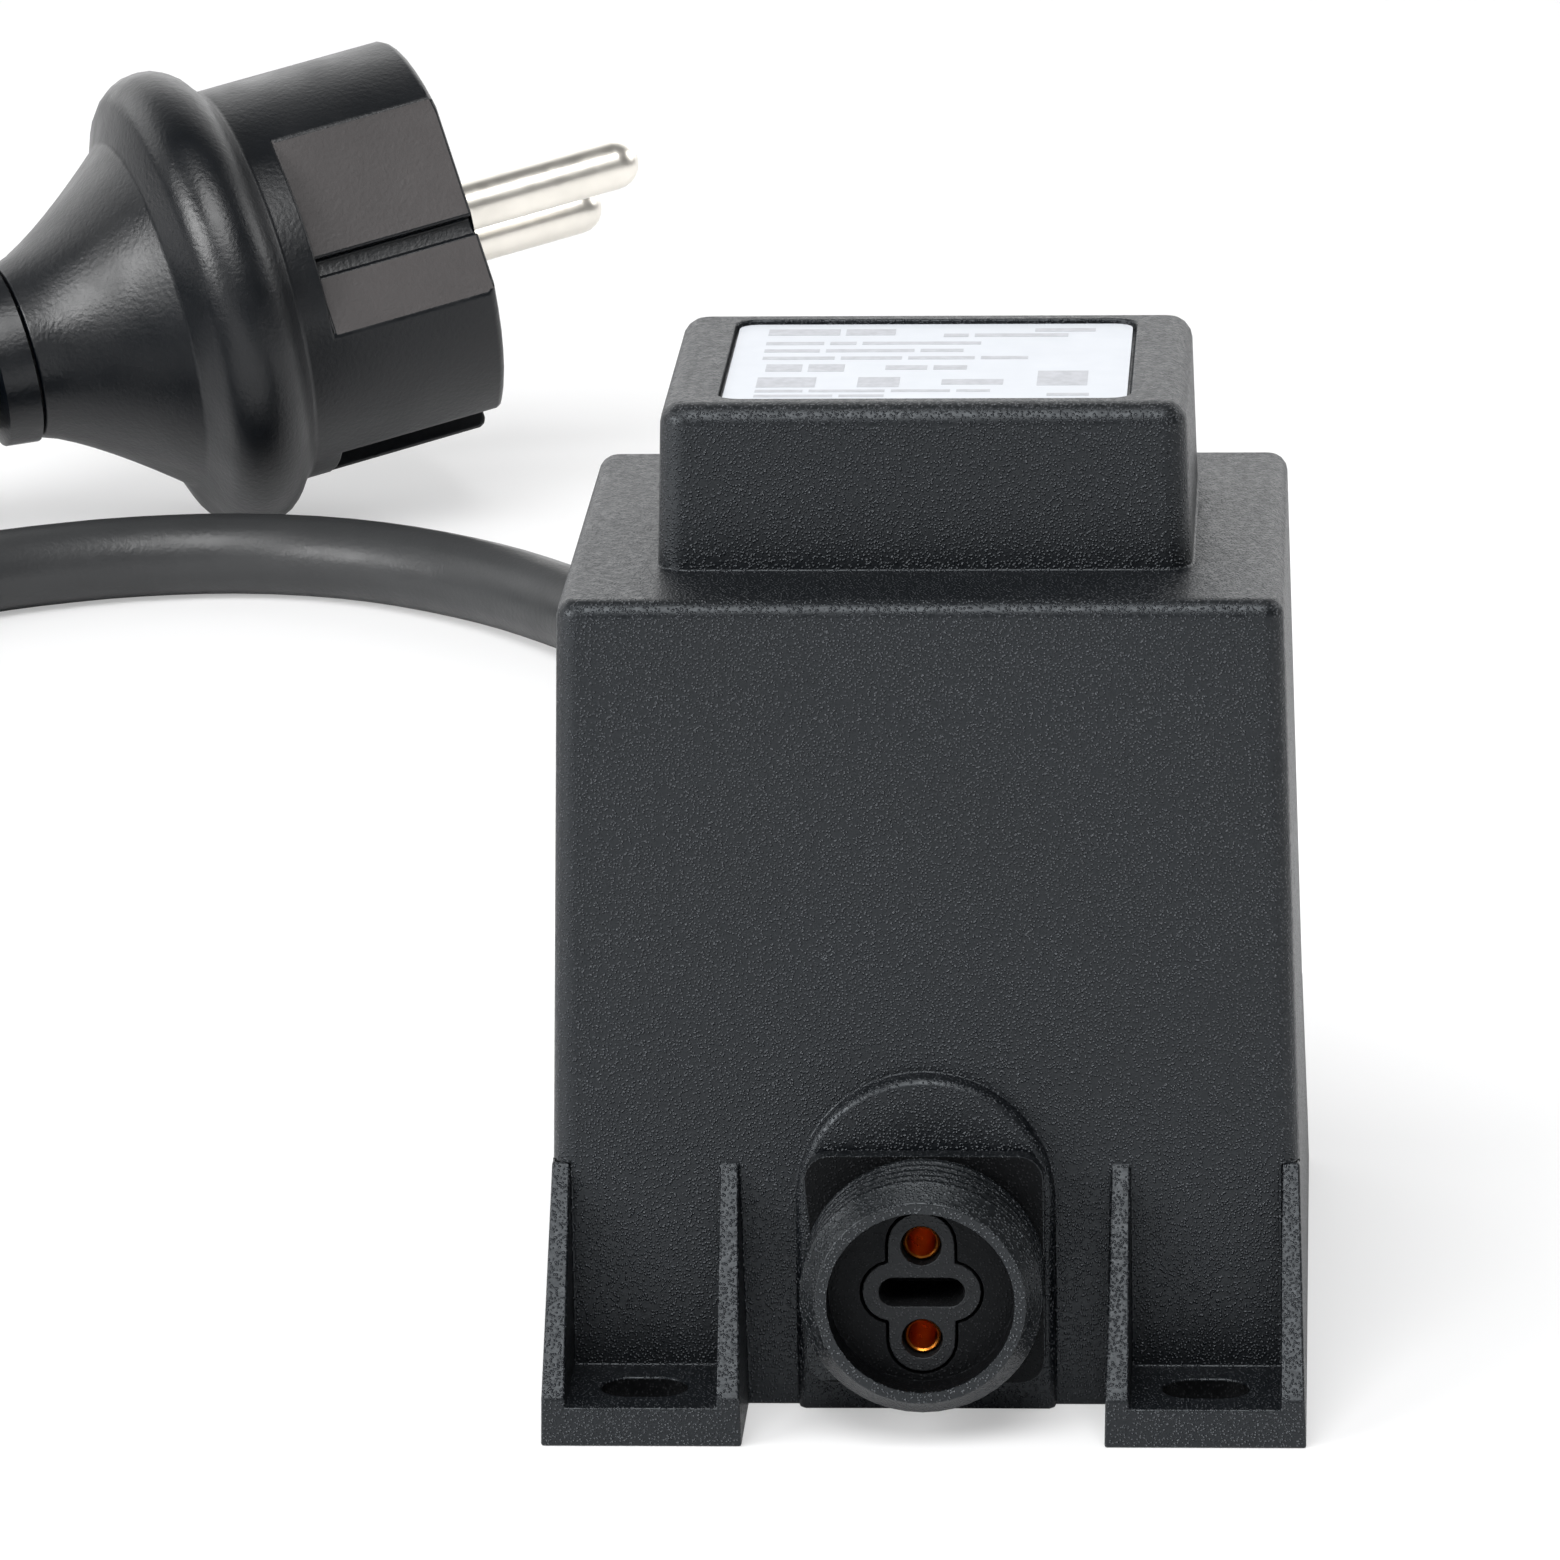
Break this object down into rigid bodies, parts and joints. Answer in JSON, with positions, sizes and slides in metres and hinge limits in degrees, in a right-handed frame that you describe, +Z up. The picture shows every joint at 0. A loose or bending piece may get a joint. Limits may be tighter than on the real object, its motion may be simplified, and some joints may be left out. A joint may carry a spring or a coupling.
{
  "type": "plug-in outdoor low-voltage transformer",
  "caption": "Potted low-voltage AC transformer in a drafted plastic housing on screw feet, with a threaded output socket in front and a coiled rubber mains lead with a moulded plug.",
  "frame": {"origin": "on the ground, under the middle of the box round the housing, its feet and its socket, without the mains lead", "axes": "+Z up from the feet to the rating label, front with the socket towards -Y, +X to the right seen from the front"},
  "size_m": [0.2607, 0.2903, 0.0707],
  "materials": {
    "housing": "fine spark-eroded grain, satin",
    "label": "smooth satin print film",
    "carrier": "satin moulding",
    "contacts": "dull bare metal",
    "cord_rubber": "satin rubber",
    "resin": "cast resin, glossy where it met air",
    "laminations": "stacked sheet edges",
    "bobbin": "natural nylon",
    "copper": "enamelled wire",
    "tape": "polyester film",
    "fuse_can": "drawn can",
    "lead_brown": "insulation",
    "lead_blue": "insulation",
    "lead_black": "insulation",
    "tie": "woven hook-and-loop strap",
    "plug_rubber": "smooth satin rubber",
    "pins": "nickel-plated, polished"
  },
  "bodies": {
    "root": {"housing": "housing", "rating_label": "label", "socket_body": "housing", "contact_carrier": "carrier", "contact_sleeve_upper": "contacts", "contact_sleeve_lower": "contacts", "strain_relief": "cord_rubber", "potting_resin": "resin", "core_e_stack": "laminations", "core_i_stack": "laminations", "bobbin": "bobbin", "primary_winding": "copper", "secondary_winding": "copper", "primary_tape": "tape", "secondary_tape": "tape", "thermal_fuse": "fuse_can", "fuse_lead": "lead_brown", "primary_lead_live": "lead_brown", "primary_lead_neutral": "lead_blue", "secondary_lead_upper": "lead_black", "secondary_lead_lower": "lead_black", "mains_cord": "cord_rubber", "cord_coil": "cord_rubber", "mains_cord_tail": "cord_rubber", "cord_tie": "tie", "plug_body": "plug_rubber", "plug_boot": "plug_rubber", "plug_bridge": "carrier", "plug_pin_a": "pins", "plug_pin_b": "pins"}
  },
  "joints": []
}
